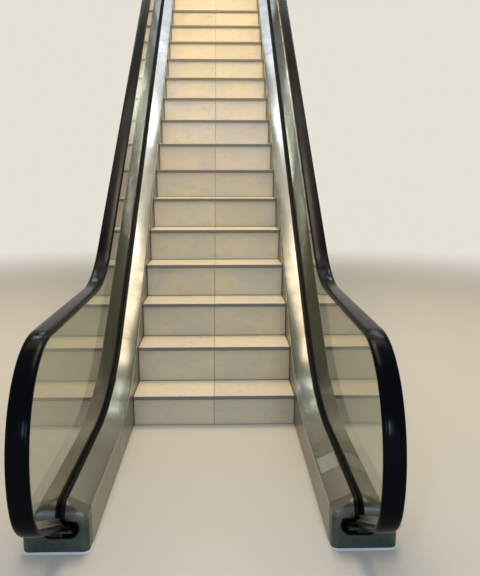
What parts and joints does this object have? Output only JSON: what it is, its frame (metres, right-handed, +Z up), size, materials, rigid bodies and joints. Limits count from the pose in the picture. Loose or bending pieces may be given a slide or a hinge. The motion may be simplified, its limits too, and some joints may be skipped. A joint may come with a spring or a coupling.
{
  "type": "escalator with a fixed tiled stair",
  "caption": "Disused escalator with glass balustrades, black handrails and steel decking; ceramic tile treads form a fixed stair on its steps.",
  "frame": {"origin": "middle of the underside of the sole plate that carries the foot of the two stringers, at floor level", "axes": "+Y horizontally up the flight, +Z up, +X to the right of a person who climbs"},
  "size_m": [1.562, 10.3196, 5.3081],
  "materials": {
    "step_casting": "die-cast, dull",
    "tread_tile": "satin glaze",
    "riser_tile": "satin glaze",
    "truss_steel": "grey primer",
    "cladding_sheet": "powder coat, satin",
    "skirt_stainless": "dull, worn",
    "deck_stainless": "brushed along its length",
    "clamp_aluminium": "extruded",
    "black_rubber": "satin",
    "balustrade_glass": "clear, toughened",
    "guide_stainless": "bright drawn",
    "handrail_rubber": "polished by hands",
    "newel_plate": "dark satin enamel"
  },
  "bodies": {
    "root": {"step_units": "step_casting", "tread_slabs": "tread_tile", "riser_tiles": "riser_tile", "stringers": "truss_steel", "cross_bars": "truss_steel", "sole_plate": "truss_steel", "landing_pan": "truss_steel", "landing_tiles": "tread_tile", "end_plate": "truss_steel", "bearing_angle": "truss_steel", "soffit_sheets": "cladding_sheet", "truss_left": "truss_steel", "truss_right": "truss_steel", "bracket_rail_left": "truss_steel", "bracket_rail_right": "truss_steel", "cladding_left": "cladding_sheet", "cladding_right": "cladding_sheet", "skirt_left": "skirt_stainless", "skirt_right": "skirt_stainless", "inner_deck_left": "deck_stainless", "inner_deck_right": "deck_stainless", "outer_deck_left": "deck_stainless", "outer_deck_right": "deck_stainless", "glass_clamp_left": "clamp_aluminium", "glass_clamp_right": "clamp_aluminium", "gasket_left": "black_rubber", "gasket_right": "black_rubber", "lower_pane_left": "balustrade_glass", "lower_pane_right": "balustrade_glass", "incline_panes_left": "balustrade_glass", "incline_panes_right": "balustrade_glass", "upper_pane_left": "balustrade_glass", "upper_pane_right": "balustrade_glass", "handrail_guide_left": "guide_stainless", "handrail_guide_right": "guide_stainless", "handrail_left": "handrail_rubber", "handrail_right": "handrail_rubber", "lower_newel_cap_left": "newel_plate", "lower_newel_cap_right": "newel_plate", "upper_newel_cap_left": "newel_plate", "upper_newel_cap_right": "newel_plate", "lower_inlet_left": "black_rubber", "lower_inlet_right": "black_rubber", "upper_inlet_left": "black_rubber", "upper_inlet_right": "black_rubber"}
  },
  "joints": []
}
